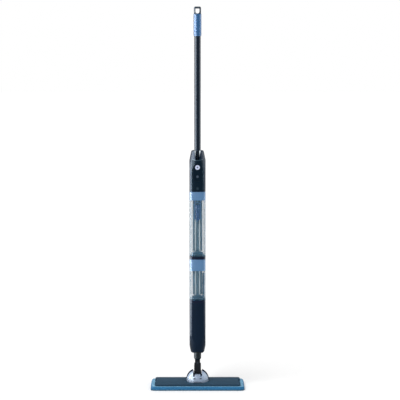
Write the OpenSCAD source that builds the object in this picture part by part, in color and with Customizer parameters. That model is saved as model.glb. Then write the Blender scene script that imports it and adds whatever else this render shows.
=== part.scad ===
// Cordless electric mop with a clean and a dirty water tank on the stick.
// Origin: on the floor under the middle of the head. +Z up, X across the head, front faces -Y.

/* [Pad and head plate] */
// Width of the mop pad
pad_w = 322; // [310:1:345]
// Depth of the mop pad, front to back
pad_d = 120; // [116:1:135]
// Thickness of the mop pad
pad_t = 14; // [8:1:18]
// Corner radius of the pad in plan
pad_corner = 14; // [6:1:30]
// Thickness of the hook strips that hold the pad
strip_t = 1.2; // [0.8:0.1:2]
// Depth of each hook strip, front to back
strip_d = 18; // [10:1:24]
// Width of the head plate
plate_w = 294; // [270:1:300]
// Depth of the head plate
plate_d = 106; // [98:1:112]
// Thickness of the head plate
plate_t = 3; // [2.4:0.1:4]
// Corner radius of the head plate in plan
plate_corner = 9; // [4:1:18]
// Depth of the finger notch in each end of the plate
notch_depth = 6; // [3:0.5:9]
// Radius of the finger notch
notch_r = 17; // [12:1:24]
// How far the plate cover stands in from the plate's edge
cover_inset = 1.5; // [0.5:0.5:3]
// Straight edge of the plate cover
cover_edge = 1; // [0.8:0.1:1.6]
// Rise of the cover's crown above its edge
cover_crown = 3; // [2:0.5:4]
// Length of the wetting bar under the plate
bar_w = 210; // [160:5:240]
// Depth of the wetting bar, front to back
bar_d = 12; // [8:1:16]

/* [Swivel] */
// Radius of the swivel dome
dome_r = 39.7; // [38:0.1:42]
// Height of the dome's centre above the cover's crown
dome_lift = 1.5; // [1:0.5:4]
// Wall of the dome
dome_wall = 3; // [2:0.5:4]
// Where the silver front of the dome ends, behind its own front
dome_split = -12; // [-14:0.5:-10]
// Height of the fore-and-aft hinge above the cover's crown
pitch_lift = 27.5; // [27:0.5:29]
// Distance between the two hinges
link = 35; // [34:0.5:38]
// Width of the yoke
yoke_w = 23.5; // [22:0.5:25]
// Radius of the yoke's lower eye, and half its depth
yoke_r = 9; // [8:0.5:9.5]
// Thickness of the neck's tongue in the yoke's fork
tongue_t = 8; // [6:0.5:9]
// Radius of both hinge pins
pin_r = 2.4; // [2:0.1:2.6]
// Inner face of each hinge ear, from the middle
ear_in = 15.5; // [14.5:0.5:17]
// Thickness of each hinge ear
ear_t = 6.5; // [5:0.5:7.5]

/* [Neck] */
// Diameter of the neck tube
neck_d = 25.2; // [23:0.1:27]
// Width of the neck's waist and tongue
waist_w = 18; // [15:0.5:18]
// Height from the side-to-side hinge to the bottom of the body
neck_drop = 36.2; // [35:0.1:44]

/* [Body] */
// Width of the body and tanks
body_w = 55; // [53:0.5:60]
// Depth of the body and tanks
body_d = 58; // [56:0.5:64]
// Corner radius of the body
body_corner = 12; // [11:0.5:14]
// Radius of the slight crown on the body's front
crown_r = 110; // [90:5:160]
// Wall of the housing shells
wall = 2.2; // [1.8:0.1:2.6]
// Height of the pump and battery housing
lower_h = 176.7; // [172:0.1:200]
// Height of the ring under the dirty tank
base_ring_h = 9.3; // [8:0.1:12]
// Height of the dirty tank's bay
dirty_h = 141.3; // [120:0.1:170]
// Height of the ring between the tanks
mid_ring_h = 10; // [8:0.1:12]
// Height of the clean tank's bay
clean_h = 221.2; // [200:0.1:240]
// Height of the control housing
upper_h = 139.5; // [136:0.1:160]
// Where front and rear shells meet, front to back
shell_split = 4; // [2:0.5:6]
// Radius of the lower end at its tip
foot_tip = 22.7; // [21:0.1:24]
// Length over which the lower end tapers to the full width
foot_len = 28; // [25:1:32]
// Radius of the upper end at its tip
top_tip = 20.6; // [19.5:0.1:22]
// Length over which the upper end tapers to the full width
top_len = 38; // [34:1:44]
// Radius of the bulge of both tapers
taper_bulge = 1200; // [900:50:1500]
// Rounding round the edge of both ends
end_fillet = 5; // [3:0.5:6]

/* [Tanks] */
// Wall of both tanks
tank_wall = 2.4; // [2.2:0.1:3]
// Height of the clean tank's lid band
clean_lid_h = 29; // [24:0.5:34]
// Height of the dirty tank's lid band
dirty_lid_h = 39.6; // [30:0.1:44]
// Height of the rim that plugs into a lid
rim_h = 7; // [5:0.5:9]
// Gap between a tank and what it slides past
slide_gap = 0.3; // [0.2:0.05:0.5]
// Diameter of the tube behind the tanks
spine_d = 22; // [20:0.5:23]
// How far that tube stands behind the middle
spine_y = 9; // [8:0.5:11]
// Wall of that tube
spine_wall = 1.5; // [1:0.1:2]
// Diameter of the filter cartridge
filter_d = 16.6; // [14:0.2:17.4]
// Length of the filter cartridge
filter_len = 56; // [48:1:60]

/* [Controls] */
// Width of the control panel
panel_w = 36.6; // [34:0.2:37.6]
// Height of the control panel at its sides
panel_h = 105; // [100:1:107]
// Width of the button recess
recess_w = 20.6; // [19:0.2:23]
// Height of the button recess
recess_h = 57; // [52:1:62]
// Height of the recess's middle above the panel's foot
recess_z = 61; // [58:0.5:64]
// Diameter of the power button
power_d = 15.8; // [13:0.2:16.6]
// Diameter of the mode button
mode_d = 8.4; // [7:0.2:10]
// Travel of both buttons
button_travel = 1.2; // [0.8:0.1:1.3]
// Height of the tank release button
release_h = 25; // [20:1:28]
// Depth of the tank release button, front to back
release_d = 14; // [11:0.5:16]

/* [Pole and grip] */
// Diameter of the pole
pole_d = 22; // [20:0.5:23]
// Wall of the pole
pole_wall = 1.3; // [1:0.1:2]
// Length of pole in view between body and grip
pole_view = 383; // [250:1:450]
// Diameter of the grip
grip_d = 26.6; // [25:0.2:30]
// Length of the grip
grip_h = 74; // [60:1:140]
// Height of the hanging loop
loop_h = 24; // [22:0.5:30]
// Width of the hanging loop
loop_w = 24; // [22:0.5:24.5]
// Depth of the hanging loop, front to back
loop_d = 15; // [10:0.5:18]
// Width of the hanging slot
slot_w = 13.4; // [10:0.2:15]

/* [Pumps and battery] */
// Radius of a battery cell
cell_r = 9.2; // [9:0.05:9.2]
// Length of a battery cell
cell_h = 65; // [65:0.1:65.4]
// Radius of the dirty water pump's head
dirty_pump_r = 17.5; // [16.5:0.5:17.5]
// Radius of the clean water pump's head
clean_pump_r = 13; // [12:0.5:13]
// Outer radius of the water hoses
hose_r = 3; // [2.5:0.1:3.2]
// Bore radius of the water hoses
hose_bore = 2; // [1.4:0.1:2.2]

/* [Hidden] */
$fn = 96;
eps = 0.01;
seat = 0.3;         // gap between a soft or loose piece and its seat
fit = 0.15;         // gap between fixed pieces that plug together
running = 0.05;     // radial clearance of a shaft in its bore
part_line = 0.1;    // half the gap where two shells meet
screw_r = 1.5;
boss_r = 3.8;
head_r = 2.9;
head_y = body_d/2 - 8;      // seat of the screw heads behind

strip_w = plate_w - 44;
strip_y = plate_d/2 - strip_d - 6;
plate_z = pad_t + seat + strip_t;
cover_z = plate_z + plate_t;
crown_top = cover_z + cover_edge + cover_crown;
cover_d = plate_d - 2*cover_inset;
crown_big_r = (pow(cover_d/2, 2) + pow(cover_crown, 2))/(2*cover_crown);

dome_z = crown_top + dome_lift;
pitch_z = crown_top + pitch_lift;
roll_z = pitch_z + link;
ear_out = ear_in + ear_t;
cheek_r = 8.4;
sill_z = pitch_z - 3;        // top of the sill in front of the yoke
sill_back = dome_split - 2;
tail_z = pitch_z - yoke_r - 4;   // flat top of the dome behind, under the folding neck
tail_y = 6;
deck_t = 3;
cradle_screw_x = 27;
cradle_screw_y = 19;

shoulder_r = 4;              // round shoulders of the yoke
shoulder_drop = 3;           // their top below the side-to-side hinge
flare_z = roll_z + waist_w/2 + 0.9;
neck_full = roll_z + 16;     // where the neck reaches its full diameter
body_z = roll_z + neck_drop;
collar_h = 23;
collar_t = 3.2;
arch_r = 15.5;
arch_drop = 8.5;             // arch's centre below the body

base_z = body_z + lower_h;
dirty_z = base_z + base_ring_h;
mid_z = dirty_z + dirty_h;
clean_z = mid_z + mid_ring_h;
upper_z = clean_z + clean_h;
top_z = upper_z + upper_h;
grip_z = top_z + pole_view;
loop_z = grip_z + grip_h;

// centres of the body's corners and of its crowned front
corner_x = body_w/2 - body_corner;
crown_y = crown_r - body_d/2;
front_y = crown_y - sqrt(pow(crown_r - body_corner, 2) - corner_x*corner_x);
back_y = body_d/2 - body_corner;

pole_r = pole_d/2;
spine_r = spine_d/2;
channel_r = spine_r + 4*slide_gap;
socket_gap = 8;
pole_foot = upper_z + 33;
spine_foot = dirty_z - 8;
spine_top = pole_foot - socket_gap;

tank_floor = 2.8;
riser_x = (channel_r + body_w/2)/2;
coupling_x = riser_x - 7.85;
stub_r = 5;
front_lobe_y = (-body_d/2 + spine_y - channel_r)/2;
filter_z = upper_z - 44;     // top of the cartridge
filter_r = filter_d/2;
filter_in = filter_r + seat;
frame_half = 12.4;
arch_z = filter_z - 3;
rim_out = 1.3;               // rim's outer face, in from the tank's skin
clean_top = upper_z - slide_gap;
clean_lid_z = clean_top - clean_lid_h;
dirty_top = mid_z - slide_gap;
dirty_lid_z = dirty_top - dirty_lid_h;

panel_z = upper_z + 2.5;
panel_t = 2.8;
panel_proud = 0.3;
panel_back = -body_d/2 - panel_proud + panel_t;
power_z = panel_z + recess_z + recess_h/2 - 9.2;
mode_z = panel_z + recess_z - recess_h/2 + 16.5;
lens_z = panel_z + 9;
lens_r = 4.4;
release_z = upper_z + 42;
release_y = front_y + release_d/2 + 0.8;
board_y = -body_d/2 + 13;
switch_tip = board_y - 4;
inlay_r = 2.6;
notch_low = top_z - 27;      // centre of the round foot of the pole's notch
notch_foot_r = 6;

screw_x = body_w/2 - wall - boss_r + 0.4;
upper_screw_z = [upper_z + 17.5, release_z + release_h + 1];

bracket_y = -body_d/2 + 25.3;
bracket_t = 2;
neck_top = body_z + collar_h + 3.4;
clean_pump_z = neck_top + 1.1 + clean_pump_r;
dirty_pump_z = clean_pump_z + clean_pump_r + 0.5 + dirty_pump_r;
battery_z = dirty_pump_z + dirty_pump_r + 6;
lower_screw_z = [dirty_pump_z + 0.64*dirty_pump_r, base_z - boss_r - 6.2];
cap_t = 5;
hose_x = screw_x - boss_r - hose_r - 0.6;
hose_y = back_y + 3.5;
socket_jack_z = clean_pump_z + 0.8*clean_pump_r;
pcb_w = 2*corner_x + 3;
pcb_h = cell_h + 9;
pcb_t = 1.6;
pcb_y = -body_d/2 + wall + 2.6;
chip_t = 2;
// centres of the three cells
cell_row = pcb_y + pcb_t + chip_t + 3.4 + cell_r;
cell_places = [
    [-cell_r - 0.4, cell_row], [cell_r + 0.4, cell_row], [0, cell_row + 0.87*(2*cell_r + 0.8)]
];

// ---------- outlines ----------

// Rectangle with round corners, centred.
module rounded(w, d, r) {
    square([w - 2*r, d], center = true);
    square([w, d - 2*r], center = true);
    for (x = [-1, 1], y = [-1, 1])
        translate([x*(w/2 - r), y*(d/2 - r)]) circle(r);
}

// Section of the stick's body: round corners and a slightly crowned front, moved in by inset.
module body_outline(inset = 0) {
    r = body_corner - inset;
    reach = 1.2;
    intersection() {
        translate([0, crown_y]) circle(crown_r - inset, $fn = 360);
        polygon([
            [-corner_x, front_y], [corner_x, front_y],
            [reach*corner_x, crown_y - reach*(crown_y - front_y)],
            [-reach*corner_x, crown_y - reach*(crown_y - front_y)]
        ]);
    }
    for (x = [-corner_x, corner_x], y = [front_y, back_y])
        translate([x, y]) circle(r);
    translate([-corner_x - r, front_y]) square([2*(corner_x + r), back_y - front_y]);
    translate([-corner_x, front_y]) square([2*corner_x, back_y + r - front_y]);
}

// Slot in the back of a tank that straddles the spine tube, its wall moved out by grow.
module channel(grow = 0) {
    half = channel_r + grow;
    translate([0, spine_y]) circle(half);
    translate([-half, spine_y]) square([2*half, body_d]);
}

module tank_outline(inset = 0) {
    difference() {
        body_outline(inset);
        channel(inset);
    }
}

module plate_outline(inset = 0) {
    difference() {
        rounded(plate_w - 2*inset, plate_d - 2*inset, plate_corner - inset);
        for (x = [-1, 1])
            translate([x*(plate_w/2 + notch_r - notch_depth), 0]) circle(notch_r + inset);
    }
}

// Radius profile of a tapered end: tip at the bottom, bulging out past the body's corners.
module taper_profile(tip, taper, inset, length) {
    wide = 37.5;
    rise = taper*(wide - tip)/(body_w/2 - tip);
    chord = sqrt(pow(wide - tip, 2) + pow(rise, 2));
    back = sqrt(pow(taper_bulge, 2) - pow(chord/2, 2));
    cx = (tip + wide)/2 - back*rise/chord;
    cz = rise/2 + back*(wide - tip)/chord;
    slope = (wide - tip)/rise;
    lean = sqrt(1 + slope*slope);
    fillet_x = tip + slope*end_fillet - end_fillet*lean;
    difference() {
        union() {
            intersection() {
                translate([cx, cz]) circle(taper_bulge - inset, $fn = 1440);
                translate([0, inset]) square([wide, rise - inset]);
            }
            translate([0, rise]) square([wide - inset, length - rise]);
        }
        if (inset == 0)
            difference() {
                translate([fillet_x, -1]) square([end_fillet + 2, 1 + end_fillet*(1 - slope/lean)]);
                translate([fillet_x, end_fillet]) circle(end_fillet);
            }
    }
}

// Housing form with its tapered end at the bottom; moved in by inset it is the cavity.
module housing_form(inset, length, tip, taper) {
    intersection() {
        linear_extrude(length) body_outline(inset);
        rotate_extrude() taper_profile(tip, taper, inset, length + 1);
    }
}

module lower_form(inset = 0) {
    translate([0, 0, body_z]) housing_form(inset, lower_h, foot_tip, foot_len);
}

module upper_form(inset = 0) {
    translate([0, 0, top_z]) mirror([0, 0, 1]) housing_form(inset, upper_h, top_tip, top_len);
}

module front_half(z0, h) {
    translate([-body_w, -body_d, z0]) cube([2*body_w, body_d + shell_split - part_line, h]);
}

module rear_half(z0, h) {
    translate([-body_w, shell_split + part_line, z0]) cube([2*body_w, body_d, h]);
}

// Round bar along Y from y0 to y1.
module bar_y(r, y0, y1) {
    translate([0, y1, 0]) rotate([90, 0, 0]) cylinder(r = r, h = y1 - y0);
}

// Round bar along X from x0 to x1.
module bar_x(r, x0, x1) {
    translate([x0, 0, 0]) rotate([0, 90, 0]) cylinder(r = r, h = x1 - x0);
}

module tube(r, bore, z0, z1) {
    difference() {
        translate([0, 0, z0]) cylinder(r = r, h = z1 - z0);
        translate([0, 0, z0 - 1]) cylinder(r = bore, h = z1 - z0 + 2);
    }
}

// Screw bosses along the side walls at the given heights.
module bosses(heights) {
    for (x = [-screw_x, screw_x], z = heights)
        translate([x, 0, z]) bar_y(boss_r, -body_d/2 + 9, head_y + 2);
}

// What the screws need: pilot holes in front, clearance and a sunk head behind.
module screw_cuts(heights) {
    for (x = [-screw_x, screw_x], z = heights)
        translate([x, 0, z]) {
            bar_y(screw_r + running, shell_split - 14, head_y + 1);
            bar_y(head_r + fit, head_y, body_d/2 + 1);
        }
}

module screws(heights) {
    color("silver")
        for (x = [-screw_x, screw_x], z = heights)
            translate([x, 0, z]) {
                bar_y(screw_r, shell_split - 13, head_y + 0.1);
                difference() {
                    bar_y(head_r, head_y, head_y + 2);
                    for (turn = [0, 90])
                        rotate([0, turn, 0])
                            translate([-1.6, head_y + 1.2, -0.35]) cube([3.2, 2, 0.7]);
                }
            }
}

// ---------- head ----------

module mop_pad() {
    color("#3f87b8")
        linear_extrude(pad_t) rounded(pad_w, pad_d, pad_corner);
}

module hook_strips() {
    color("#d8dde0")
        for (y = [-strip_y, strip_y])
            translate([0, y, plate_z - strip_t])
                linear_extrude(strip_t) rounded(strip_w, strip_d, 3);
}

module cradle_screw_places() {
    for (x = [-1, 1], y = [-1, 1])
        translate([x*cradle_screw_x, y*cradle_screw_y, 0]) children();
}

module head_plate() {
    color("#2c4356")
        difference() {
            translate([0, 0, plate_z]) linear_extrude(plate_t) plate_outline();
            // seat of the wetting bar
            translate([0, 0, plate_z - 1])
                linear_extrude(1 + plate_t/2) rounded(bar_w + 2*fit, bar_d + 2*fit, 4);
            // feeds from the manifold in the cover
            for (x = [-2:2])
                translate([x*bar_w/5, 0, plate_z]) cylinder(r = 1.5, h = plate_t + 1);
            cradle_screw_places() {
                translate([0, 0, plate_z - 1]) cylinder(r = head_r + fit, h = 2.6);
                translate([0, 0, plate_z]) cylinder(r = screw_r + fit, h = plate_t + 1);
            }
        }
}

// Everything under the cover's crowned top, lowered by drop.
module crown_form(drop = 0) {
    intersection() {
        translate([0, 0, crown_top - crown_big_r - drop]) rotate([0, 90, 0])
            cylinder(r = crown_big_r, h = plate_w + 2, center = true, $fn = 720);
        translate([-plate_w, -plate_d, cover_z]) cube([2*plate_w, 2*plate_d, 2*crown_top]);
    }
}

module plate_cover() {
    manifold_h = 1.6;
    color("#33505f")
        difference() {
            intersection() {
                translate([0, 0, cover_z]) linear_extrude(crown_top) plate_outline(cover_inset);
                crown_form();
            }
            translate([0, 0, cover_z - 1])
                linear_extrude(1 + manifold_h) rounded(bar_w, bar_d - 4, 3);
            for (x = [-1, 1])
                translate([x*6, 0, cover_z]) cylinder(r = hose_bore, h = crown_top);
            cradle_screw_places()
                translate([0, 0, cover_z - 1]) cylinder(r = screw_r + fit, h = crown_top);
        }
}

module wetting_bar() {
    ports = 14;
    color("#9fb3bf")
        difference() {
            translate([0, 0, plate_z + fit])
                linear_extrude(plate_t/2 - 2*fit) rounded(bar_w, bar_d, 4);
            for (i = [0:ports - 1], y = [-1, 1])
                translate([(i + 0.5)*bar_w/ports - bar_w/2, y*bar_d/4, plate_z - 1])
                    cylinder(r = 0.9, h = plate_t);
        }
}

// ---------- swivel ----------

// Upper half ball on a short straight foot.
module dome_form(inset = 0) {
    r = dome_r - inset;
    translate([0, 0, cover_z]) cylinder(r = r, h = dome_z - cover_z);
    intersection() {
        translate([0, 0, dome_z]) sphere(r);
        translate([-r, -r, dome_z - eps]) cube([2*r, 2*r, r + 1]);
    }
}

// Everything in front of y, or behind it.
module before(y) {
    translate([-plate_w, -plate_w, 0]) cube([2*plate_w, plate_w + y, top_z]);
}

module behind(y) {
    translate([-plate_w, y, 0]) cube([2*plate_w, plate_w, top_z]);
}

// Hinge cheeks on both sides of the yoke, grown by grow.
module cheeks(grow = 0) {
    r = cheek_r + grow;
    for (side = [-1, 1])
        translate([side*(ear_in + ear_t/2) - ear_t/2 - grow, 0, 0]) {
            translate([0, 0, pitch_z]) bar_x(r, 0, ear_t + 2*grow);
            translate([0, -r, cover_z]) cube([ear_t + 2*grow, 2*r, pitch_z - cover_z]);
        }
}

// Webs that tie the cheeks to the front wall.
module webs(grow = 0) {
    for (side = [-1, 1])
        translate([side*(ear_in + ear_t/2) - ear_t/2 - grow, -dome_r, cover_z])
            cube([ear_t + 2*grow, dome_r, dome_r + dome_z - cover_z]);
}

module dome_screw_posts() {
    cradle_screw_places()
        translate([0, 0, cover_z]) cylinder(r = boss_r + 1, h = dome_z + 6 - cover_z);
}

module dome_screw_bores() {
    cradle_screw_places()
        translate([0, 0, cover_z - 1]) cylinder(r = screw_r + running, h = dome_z + 3 - cover_z);
}

module cradle() {
    slot_w = 7;
    slot_h = 3.4;
    slot_x = 10.5;
    slot_z = sill_z - 11;
    nick_z = sill_z - 5.5;       // floor of the nicks on both sides of the sill's tongue
    nick_x = 9.5;
    mouth_r = 32;
    mouth_h = 4.5;
    color("#aebfd4")
        difference() {
            union() {
                // front wall, with a solid sill in front of the yoke
                intersection() {
                    dome_form();
                    before(dome_split);
                    union() {
                        difference() {
                            before(dome_split);
                            dome_form(dome_wall);
                        }
                        translate([-ear_in - eps, -dome_r, cover_z])
                            cube([2*(ear_in + eps), dome_r + sill_back, sill_z - cover_z]);
                        webs();
                        dome_screw_posts();
                    }
                }
                // ears, under the skin of the rear shell
                intersection() {
                    dome_form(dome_wall + part_line);
                    union() {
                        cheeks();
                        webs();
                    }
                }
            }
            crown_form(-part_line);
            // pocket for the yoke
            translate([-ear_in, -dome_r - 1, sill_z]) cube([2*ear_in, 2*dome_r, 2*dome_r]);
            for (side = [-1, 1])
                translate([side*(nick_x + ear_in)/2, 0, nick_z + dome_r])
                    cube([ear_in - nick_x, 2*dome_r, 2*dome_r], center = true);
            // two blind slots in the sill
            for (side = [-1, 1])
                translate([side*slot_x, -dome_r + 6, slot_z]) rotate([90, 0, 0])
                    linear_extrude(dome_r) rounded(slot_w, slot_h, 1.2);
            // low arch at the foot of the front
            translate([0, 0, crown_top + mouth_h - mouth_r]) bar_y(mouth_r, -dome_r - 1, -dome_r + 4.5);
            // the pin goes in from the +X side
            translate([0, 0, pitch_z]) bar_x(pin_r + running, -ear_out + 1.5, ear_out + 1);
            dome_screw_bores();
        }
}

module dome_shell() {
    front = dome_split + 2*part_line;
    color("#1c2f3d")
        difference() {
            intersection() {
                dome_form();
                behind(front);
                union() {
                    difference() {
                        behind(front);
                        dome_form(dome_wall);
                    }
                    // deck under the folding neck
                    translate([-dome_r, -dome_r, tail_z - deck_t]) cube([2*dome_r, 2*dome_r, deck_t]);
                    // back walls of the two shoulders
                    translate([-dome_r, tail_y - deck_t, tail_z - 1]) cube([2*dome_r, deck_t, dome_r]);
                    intersection() {
                        dome_screw_posts();
                        behind(2);
                    }
                }
            }
            crown_form(-part_line);
            // gap over the ears' pocket
            translate([-ear_in, -dome_r - 1, tail_z]) cube([2*ear_in, 2*dome_r + 2, 2*dome_r]);
            // low tail behind, so that the neck can lie back and swing
            intersection() {
                behind(tail_y);
                translate([-dome_r - 1, 0, tail_z]) cube([2*dome_r + 2, 2*dome_r, 2*dome_r]);
            }
            // room for the ears
            intersection() {
                dome_form(dome_wall);
                union() {
                    cheeks(part_line);
                    webs(part_line);
                }
            }
            dome_screw_bores();
        }
}

module cradle_screws() {
    color("silver")
        cradle_screw_places() {
            translate([0, 0, plate_z + 0.1]) cylinder(r = head_r, h = 1.4);
            translate([0, 0, plate_z + 1]) cylinder(r = screw_r, h = dome_z - plate_z);
        }
}

module pitch_pin() {
    color("silver")
        translate([0, 0, pitch_z]) bar_x(pin_r, -ear_out + 1.7, ear_out - 1.7);
}

module pitch_bushes() {
    gap = 0.2;
    color("#e4e8ea")
        for (side = [-1, 1])
            translate([side*(yoke_w/2 + ear_in)/2, 0, pitch_z])
                difference() {
                    len = ear_in - yoke_w/2 - 2*gap;
                    bar_x(yoke_r - 2.5, -len/2, len/2);
                    bar_x(pin_r + running, -len, len);
                }
}

module yoke() {
    half = yoke_w/2;
    slot_floor = roll_z - waist_w/2 - seat;
    block_top = roll_z - shoulder_drop;
    color("#0e1a22")
        difference() {
            union() {
                translate([0, 0, pitch_z]) bar_x(yoke_r, -half, half);
                translate([0, yoke_r, 0]) rotate([90, 0, 0]) linear_extrude(2*yoke_r) {
                    translate([-half, pitch_z]) square([yoke_w, block_top - shoulder_r - pitch_z]);
                    translate([shoulder_r - half, pitch_z])
                        square([yoke_w - 2*shoulder_r, block_top - pitch_z]);
                    for (side = [-1, 1])
                        translate([side*(half - shoulder_r), block_top - shoulder_r]) circle(shoulder_r);
                }
                // the fork's round eyes
                translate([0, 0, roll_z]) bar_y(waist_w/2, -yoke_r, yoke_r);
            }
            // fork slot for the neck's tongue
            translate([-yoke_w, -tongue_t/2 - seat, slot_floor])
                cube([2*yoke_w, tongue_t + 2*seat, 3*waist_w]);
            translate([0, 0, pitch_z]) bar_x(pin_r + running, -yoke_w, yoke_w);
            translate([0, 0, roll_z]) bar_y(pin_r + running, -2*yoke_r, 2*yoke_r);
            // shallow ring groove on the front and back
            for (y = [-yoke_r, yoke_r])
                translate([0, y, (pitch_z + block_top)/2 + 2]) rotate([90, 0, 0])
                    difference() {
                        cylinder(r = 5.5, h = 1, center = true);
                        cylinder(r = 4, h = 2, center = true);
                    }
        }
}

module roll_pin() {
    color("silver")
        translate([0, 0, roll_z]) bar_y(pin_r, -yoke_r + 0.4, yoke_r - 0.4);
}

// ---------- neck and lower housing ----------

module neck() {
    r = neck_d/2;
    flange_z = body_z + collar_h + 0.2;
    color("#14212c")
        difference() {
            union() {
                translate([0, 0, neck_full]) cylinder(r = r, h = flange_z - neck_full + 2.4);
                translate([0, 0, flange_z]) cylinder(r = r + collar_t - 0.6, h = 2.4);
                translate([0, 0, flare_z]) cylinder(r1 = waist_w/2, r2 = r, h = neck_full - flare_z + eps);
                // tongue with its round eye
                translate([0, 0, roll_z]) {
                    bar_y(waist_w/2, -tongue_t/2, tongue_t/2);
                    translate([-waist_w/2, -tongue_t/2, 0])
                        cube([waist_w, tongue_t, flare_z - roll_z + 1]);
                }
            }
            translate([0, 0, neck_full + 3]) cylinder(r = r - 3.1, h = body_z);
            translate([0, 0, roll_z]) bar_y(pin_r + running, -tongue_t, tongue_t);
        }
}

module neck_hoses() {
    color("#c9d4da")
        for (x = [-1, 1])
            translate([x*(hose_r + 1.5), 0, 0])
                tube(hose_r, hose_bore, neck_full + 3.2, neck_top);
}

// Arch in the front of the lower housing that shows the neck.
module neck_arch() {
    translate([0, 0, body_z - arch_drop]) bar_y(arch_r, -body_d, -neck_d/2 + 5);
}

module neck_collar() {
    tube(neck_d/2 + collar_t, neck_d/2 + fit, body_z + 1, body_z + collar_h);
}

module lower_case() {
    difference() {
        union() {
            difference() {
                lower_form();
                lower_form(wall);
                translate([0, 0, base_z - 1]) linear_extrude(2) body_outline(wall);
            }
            neck_collar();
            bosses(lower_screw_z);
        }
        translate([0, 0, body_z - 1]) cylinder(r = neck_d/2 + fit, h = collar_h + 10);
        neck_arch();
        screw_cuts(lower_screw_z);
    }
}

module lower_front() {
    color("#12283a")
        intersection() {
            lower_case();
            front_half(body_z - 1, lower_h + 2);
        }
}

module lower_rear() {
    color("#12283a")
        difference() {
            intersection() {
                lower_case();
                rear_half(body_z - 1, lower_h + 2);
            }
            translate([0, 0, socket_jack_z]) bar_y(5 + fit, body_d/4, body_d);
        }
}

module lower_screws() screws(lower_screw_z);

module battery_cells() {
    color("#4fa07a")
        for (p = cell_places)
            translate([p[0], p[1], battery_z]) {
                cylinder(r = cell_r, h = cell_h - 1);
                cylinder(r = 3, h = cell_h);
            }
}

// Room for the control board, in front of the battery.
module board_room(z, h) {
    depth = pcb_y + pcb_t + chip_t + 0.8 + body_d/2;
    translate([-pcb_w/2 - 2, -body_d/2, z]) cube([pcb_w + 4, depth, h]);
}

module battery_holder() {
    color("#20262b")
        for (z = [battery_z - cap_t/2, battery_z + cell_h - cap_t/2 - 0.5])
            difference() {
                translate([0, 0, z]) linear_extrude(cap_t) body_outline(wall + 0.3);
                for (p = cell_places)
                    translate([p[0], p[1], battery_z - 0.1]) cylinder(r = cell_r + fit, h = cell_h + 0.2);
                for (x = [-hose_x, hose_x])
                    translate([x, hose_y, z - 1]) cylinder(r = hose_r + fit, h = cap_t + 2);
                board_room(z - 1, cap_t + 2);
            }
}

module pump_bracket() {
    top = battery_z - cap_t/2 - 0.2;
    foot = body_z + collar_h + 6;
    color("#3b444b")
        difference() {
            union() {
                translate([-body_w/2 + wall + 0.3, bracket_y, foot + 8])
                    cube([body_w - 2*wall - 0.6, bracket_t, top - foot - 8]);
                // shelf under the battery
                translate([0, 0, top - 1.6]) linear_extrude(1.6) body_outline(wall + 0.3);
            }
            translate([0, 0, clean_pump_z]) bar_y(10.2 + fit, -body_d, body_d);
            translate([0, 0, dirty_pump_z]) bar_y(12.2 + fit, -body_d, body_d);
            for (x = [-screw_x, screw_x], z = lower_screw_z)
                translate([x, 0, z]) bar_y(boss_r + fit, -body_d, body_d);
            for (x = [-hose_x, hose_x])
                translate([x, hose_y, top - 3]) cylinder(r = hose_bore, h = 6);
            board_room(top - 3, 4);
            // the narrowing end of the housing
            difference() {
                translate([-body_w, -body_d, body_z]) cube([2*body_w, 2*body_d, lower_h]);
                lower_form(wall + 0.3);
            }
        }
}

module clean_pump() {
    r = clean_pump_r;
    color("#5d6a72")
        translate([0, 0, clean_pump_z]) {
            bar_y(r, bracket_y - 14, bracket_y - fit);
            bar_y(10.2, bracket_y - 1, 14);
            bar_y(1.2, 13, 16);
            for (x = [-1, 1])
                translate([x*(r + 1.5), bracket_y - 7, 0])
                    rotate([0, 90, 0]) cylinder(r = 1.9, h = 6, center = true);
        }
}

module dirty_pump() {
    r = dirty_pump_r;
    color("#4a555c")
        translate([0, 0, dirty_pump_z]) {
            difference() {
                bar_y(r, bracket_y - 17, bracket_y - fit);
                bar_y(r - 3, bracket_y - 18, bracket_y - 4);
            }
            bar_y(12.2, bracket_y - 1, 16.5);
            bar_y(1.5, bracket_y - 13, bracket_y);
            for (x = [-1, 1])
                translate([x*(r + 1), bracket_y - 8, 0])
                    rotate([0, 90, 0]) cylinder(r = 1.9, h = 5, center = true);
        }
}

module pump_cap() {
    color("#8d99a1")
        translate([0, 0, dirty_pump_z]) bar_y(dirty_pump_r - 0.5, bracket_y - 18.8, bracket_y - 17.1);
}

// Three rollers on a hub.
module pump_rotor() {
    reach = dirty_pump_r - 8.2;
    roller_r = 4;
    color("#d9dfe2")
        translate([0, 0, dirty_pump_z])
            difference() {
                union() {
                    bar_y(5, bracket_y - 15.6, bracket_y - 4.3);
                    for (turn = [0, 120, 240])
                        rotate([0, turn, 0]) {
                            translate([reach, 0, 0]) bar_y(roller_r, bracket_y - 15, bracket_y - 5);
                            translate([0, bracket_y - 11, -1.5]) cube([reach, 2, 3]);
                        }
                }
                bar_y(1.5 + running, bracket_y - 13.4, bracket_y);
            }
}

module supply_hoses() {
    low = battery_z - cap_t/2 + 0.1;
    color("#c9d4da")
        for (x = [-hose_x, hose_x])
            translate([x, hose_y, 0]) tube(hose_r, hose_bore, low, base_z - 6.2);
}

module control_board() {
    z = battery_z - 4;
    chip = 8;
    edge = 5;
    color("#1f6b46")
        translate([-pcb_w/2, pcb_y, z]) cube([pcb_w, pcb_t, pcb_h]);
    color("#222222") {
        for (i = [-1:1])
            translate([1.2*chip*i - chip/2, pcb_y + pcb_t - 0.1, z + pcb_h/2 + 2*chip*i - chip/2])
                cube([chip, chip_t + 0.1, chip]);
        // standoffs against the front wall
        for (x = [-9, 9], dz = [edge, pcb_h - edge])
            translate([x, 0, z + dz]) bar_y(2, pcb_y - 1.9, pcb_y + 0.1);
    }
}

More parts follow.
